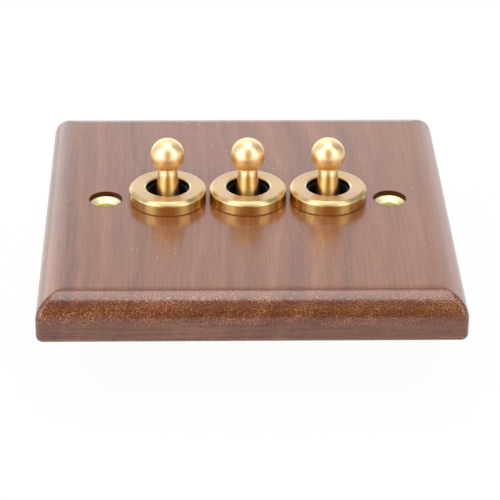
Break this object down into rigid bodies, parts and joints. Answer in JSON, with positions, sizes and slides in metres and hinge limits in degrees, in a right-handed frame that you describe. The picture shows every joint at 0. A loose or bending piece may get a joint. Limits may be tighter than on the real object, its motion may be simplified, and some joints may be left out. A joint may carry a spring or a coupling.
{
  "type": "dolly light switch",
  "caption": "Square moulded wooden wall plate with ball-ended brass toggle levers in plain brass rings and a recessed screw hole at each side; each lever rocks a changeover contact.",
  "frame": {"origin": "on the wall plane, half-way between the two wall-box screw holes", "axes": "+Z out of the wall, +Y up the wall, +X to the right as seen from the front"},
  "size_m": [0.086, 0.086, 0.0383],
  "materials": {
    "walnut": "satin lacquered walnut, grain up the plate",
    "brass": "satin turned brass",
    "cup_brass": "bright brass",
    "contact_brass": "stamped brass",
    "zinc_steel": "zinc-plated sheet steel",
    "steel": "plated steel",
    "spring_steel": "drawn spring wire",
    "black_moulding": "black moulded thermoset",
    "nylon": "natural nylon"
  },
  "bodies": {
    "switch": {"walnut_plate": "walnut", "left_screw_cup": "cup_brass", "right_screw_cup": "cup_brass", "back_plate": "zinc_steel", "plate_screws": "steel", "earth_terminal": "contact_brass", "earth_screw": "steel", "left_dress_ring": "brass", "left_pivot_pin": "steel", "left_switch_cover": "black_moulding", "left_switch_base": "black_moulding", "left_common_terminal": "contact_brass", "left_front_terminal": "contact_brass", "left_rear_terminal": "contact_brass", "left_terminal_screws": "steel", "centre_dress_ring": "brass", "centre_pivot_pin": "steel", "centre_switch_cover": "black_moulding", "centre_switch_base": "black_moulding", "centre_common_terminal": "contact_brass", "centre_front_terminal": "contact_brass", "centre_rear_terminal": "contact_brass", "centre_terminal_screws": "steel", "right_dress_ring": "brass", "right_pivot_pin": "steel", "right_switch_cover": "black_moulding", "right_switch_base": "black_moulding", "right_common_terminal": "contact_brass", "right_front_terminal": "contact_brass", "right_rear_terminal": "contact_brass", "right_terminal_screws": "steel"},
    "left_lever": {"left_dolly": "brass", "left_plunger_spring": "spring_steel"},
    "left_plunger": {"left_plunger": "nylon"},
    "left_rocker": {"left_rocker_contact": "contact_brass"},
    "centre_lever": {"centre_dolly": "brass", "centre_plunger_spring": "spring_steel"},
    "centre_plunger": {"centre_plunger": "nylon"},
    "centre_rocker": {"centre_rocker_contact": "contact_brass"},
    "right_lever": {"right_dolly": "brass", "right_plunger_spring": "spring_steel"},
    "right_plunger": {"right_plunger": "nylon"},
    "right_rocker": {"right_rocker_contact": "contact_brass"}
  },
  "joints": [
    {"name": "left_dolly_tilt", "type": "hinge", "parent": "switch", "child": "left_lever", "pos_m": [-0.017, 0, 0.008], "axis": [1, 0, 0], "range_deg": [0, 28]},
    {"name": "left_rocker_tilt", "type": "hinge", "parent": "switch", "child": "left_rocker", "pos_m": [-0.017, 0, -0.0052], "axis": [1, 0, 0], "range_deg": [-18, 0]},
    {"name": "left_plunger_slide", "type": "slide", "parent": "left_lever", "child": "left_plunger", "axis": [0, 0.2419, 0.9703], "range_m": [0, 0.0006], "stiffness_N_per_m": 300, "springref_m": -0.002, "deforming": ["left_plunger_spring"]},
    {"name": "centre_dolly_tilt", "type": "hinge", "parent": "switch", "child": "centre_lever", "pos_m": [0, 0, 0.008], "axis": [1, 0, 0], "range_deg": [0, 28]},
    {"name": "centre_rocker_tilt", "type": "hinge", "parent": "switch", "child": "centre_rocker", "pos_m": [0, 0, -0.0052], "axis": [1, 0, 0], "range_deg": [-18, 0]},
    {"name": "centre_plunger_slide", "type": "slide", "parent": "centre_lever", "child": "centre_plunger", "axis": [0, 0.2419, 0.9703], "range_m": [0, 0.0006], "stiffness_N_per_m": 300, "springref_m": -0.002, "deforming": ["centre_plunger_spring"]},
    {"name": "right_dolly_tilt", "type": "hinge", "parent": "switch", "child": "right_lever", "pos_m": [0.017, 0, 0.008], "axis": [1, 0, 0], "range_deg": [0, 28]},
    {"name": "right_rocker_tilt", "type": "hinge", "parent": "switch", "child": "right_rocker", "pos_m": [0.017, 0, -0.0052], "axis": [1, 0, 0], "range_deg": [-18, 0]},
    {"name": "right_plunger_slide", "type": "slide", "parent": "right_lever", "child": "right_plunger", "axis": [0, 0.2419, 0.9703], "range_m": [0, 0.0006], "stiffness_N_per_m": 300, "springref_m": -0.002, "deforming": ["right_plunger_spring"]}
  ],
  "couplings": [
    {"joint": "left_rocker_tilt", "follows": "left_dolly_tilt", "ratio": -0.64286},
    {"joint": "centre_rocker_tilt", "follows": "centre_dolly_tilt", "ratio": -0.64286},
    {"joint": "right_rocker_tilt", "follows": "right_dolly_tilt", "ratio": -0.64286}
  ]
}
